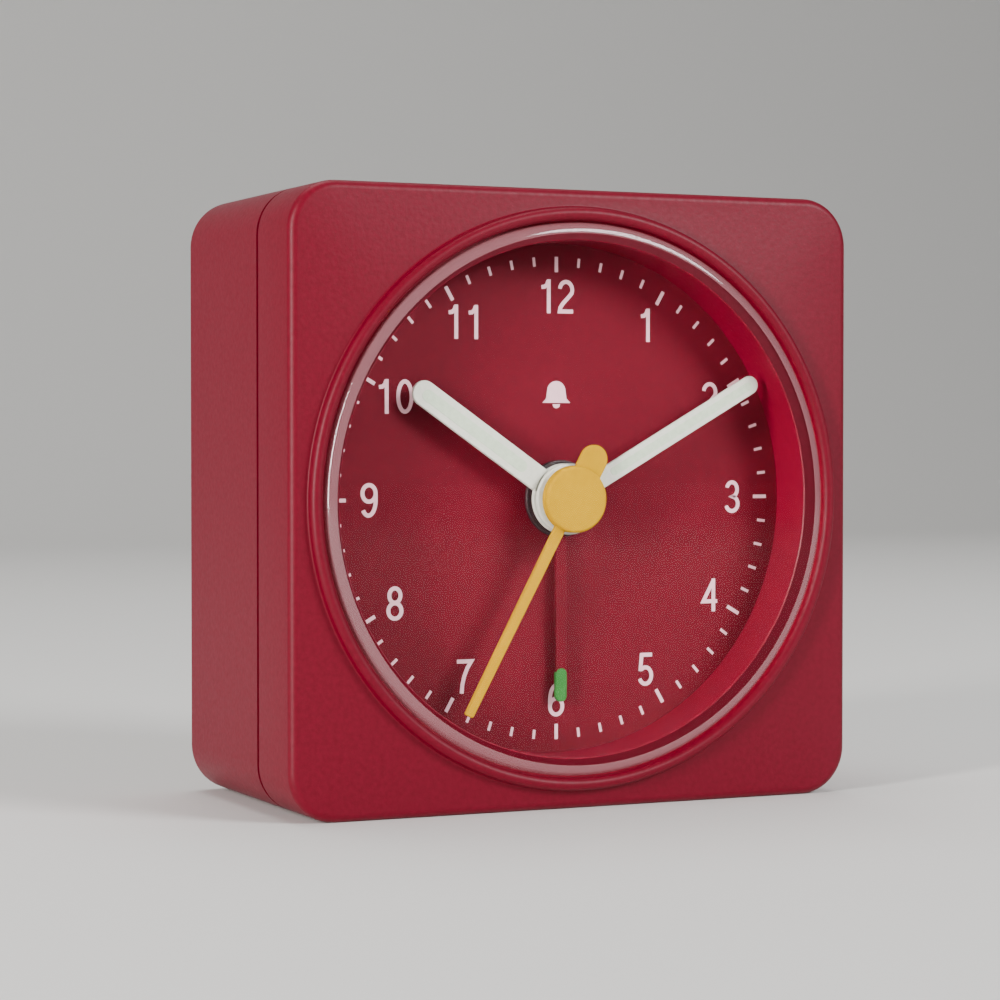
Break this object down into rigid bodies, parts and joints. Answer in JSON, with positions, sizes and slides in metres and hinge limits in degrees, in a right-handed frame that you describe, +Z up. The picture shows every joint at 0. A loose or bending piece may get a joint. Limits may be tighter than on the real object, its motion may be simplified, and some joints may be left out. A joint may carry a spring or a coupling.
{
  "type": "travel alarm clock",
  "caption": "Square travel alarm clock with a round raised window, dial, hands and quartz movement, set from the back.",
  "frame": {"origin": "centre of the bounding box's bottom face, on the surface the clock stands on", "axes": "+X to the right of someone facing the dial, +Y from the dial to the back, +Z up"},
  "size_m": [0.057, 0.029, 0.057],
  "materials": {
    "case_red": "fine matte grain",
    "dial_red": "matte print",
    "clear": "clear polished plastic",
    "hand_white": "painted white with a luminous inlay",
    "hand_yellow": "satin",
    "hand_alarm": "dark shaft with a green tip",
    "black_plastic": "satin",
    "gear_plastic": "natural acetal",
    "frame_plastic": "grey moulded",
    "steel": "plated",
    "magnet": "dark sintered",
    "copper": "enamelled wire",
    "board": "solder mask",
    "cell_jacket": "printed sleeve"
  },
  "bodies": {
    "case": {"front_case": "case_red", "rear_case": "case_red", "lens": "clear", "dial": "dial_red", "case_screws": "steel", "movement_front_plate": "frame_plastic", "movement_back_plate": "frame_plastic", "movement_screws": "steel", "stator": "steel", "coil_bobbin": "black_plastic", "coil_winding": "copper", "circuit_board": "board", "chip_cover": "black_plastic", "quartz_crystal": "steel", "capacitor": "black_plastic", "buzzer": "black_plastic", "switch_contact": "black_plastic", "alarm_contact_spring": "steel", "snooze_contact": "steel", "battery": "cell_jacket", "battery_contact_positive": "steel", "battery_contact_negative": "steel", "battery_spring": "steel", "battery_leads": "black_plastic"},
    "minute": {"centre_wheel": "gear_plastic", "minute_hand": "hand_white"},
    "hour": {"hour_wheel": "gear_plastic", "hour_hand": "hand_white"},
    "second": {"second_wheel": "gear_plastic", "second_hand": "hand_yellow"},
    "third": {"third_wheel": "gear_plastic"},
    "intermediate": {"intermediate_wheel": "gear_plastic"},
    "rotor": {"rotor": "magnet"},
    "motion": {"motion_wheel": "gear_plastic"},
    "time_setter": {"time_set_shaft": "gear_plastic", "time_knob": "black_plastic"},
    "alarm": {"alarm_wheel": "gear_plastic", "alarm_hand": "hand_alarm"},
    "alarm_setter": {"alarm_set_shaft": "gear_plastic", "alarm_knob": "black_plastic"},
    "snooze": {"snooze_bar": "case_red"},
    "switch": {"alarm_switch": "black_plastic"},
    "door": {"battery_door": "case_red"}
  },
  "joints": [
    {"name": "minute_spin", "type": "hinge", "parent": "case", "child": "minute", "pos_m": [0, 0, 0.0285], "axis": [0, 1, 0], "continuous": true},
    {"name": "hour_spin", "type": "hinge", "parent": "case", "child": "hour", "pos_m": [0, 0, 0.0285], "axis": [0, 1, 0], "continuous": true},
    {"name": "second_spin", "type": "hinge", "parent": "case", "child": "second", "pos_m": [0, 0, 0.0285], "axis": [0, 1, 0], "continuous": true},
    {"name": "third_spin", "type": "hinge", "parent": "case", "child": "third", "pos_m": [-0.00255, 0, 0.03292], "axis": [0, 1, 0], "continuous": true},
    {"name": "intermediate_spin", "type": "hinge", "parent": "case", "child": "intermediate", "pos_m": [0.00485, 0, 0.0313], "axis": [0, 1, 0], "continuous": true},
    {"name": "rotor_spin", "type": "hinge", "parent": "case", "child": "rotor", "pos_m": [0.00579, 0, 0.03662], "axis": [0, 1, 0], "continuous": true},
    {"name": "motion_spin", "type": "hinge", "parent": "case", "child": "motion", "pos_m": [0.00313, 0, 0.02671], "axis": [0, 1, 0], "continuous": true},
    {"name": "time_set_spin", "type": "hinge", "parent": "case", "child": "time_setter", "pos_m": [0.00612, 0, 0.025], "axis": [0, 1, 0], "continuous": true},
    {"name": "alarm_spin", "type": "hinge", "parent": "case", "child": "alarm", "pos_m": [0, 0, 0.0285], "axis": [0, 1, 0], "continuous": true},
    {"name": "alarm_set_spin", "type": "hinge", "parent": "case", "child": "alarm_setter", "pos_m": [-0.00457, 0, 0.025], "axis": [0, 1, 0], "continuous": true},
    {"name": "snooze_press", "type": "slide", "parent": "case", "child": "snooze", "axis": [0, 0, -1], "range_m": [0, 0.0008], "stiffness_N_per_m": 600},
    {"name": "alarm_switch_slide", "type": "slide", "parent": "case", "child": "switch", "axis": [1, 0, 0], "range_m": [0, 0.003]},
    {"name": "battery_door_swing", "type": "hinge", "parent": "case", "child": "door", "pos_m": [0, 0.0136, 0.0038], "axis": [-1, 0, 0], "range_deg": [0, 75]}
  ],
  "couplings": [
    {"joint": "third_spin", "follows": "minute_spin", "ratio": -8},
    {"joint": "second_spin", "follows": "minute_spin", "ratio": 60},
    {"joint": "intermediate_spin", "follows": "minute_spin", "ratio": -360},
    {"joint": "rotor_spin", "follows": "minute_spin", "ratio": 1800},
    {"joint": "motion_spin", "follows": "minute_spin", "ratio": -0.33333},
    {"joint": "hour_spin", "follows": "minute_spin", "ratio": 0.083333},
    {"joint": "time_set_spin", "follows": "minute_spin", "ratio": 1.2},
    {"joint": "alarm_set_spin", "follows": "alarm_spin", "ratio": -1}
  ]
}
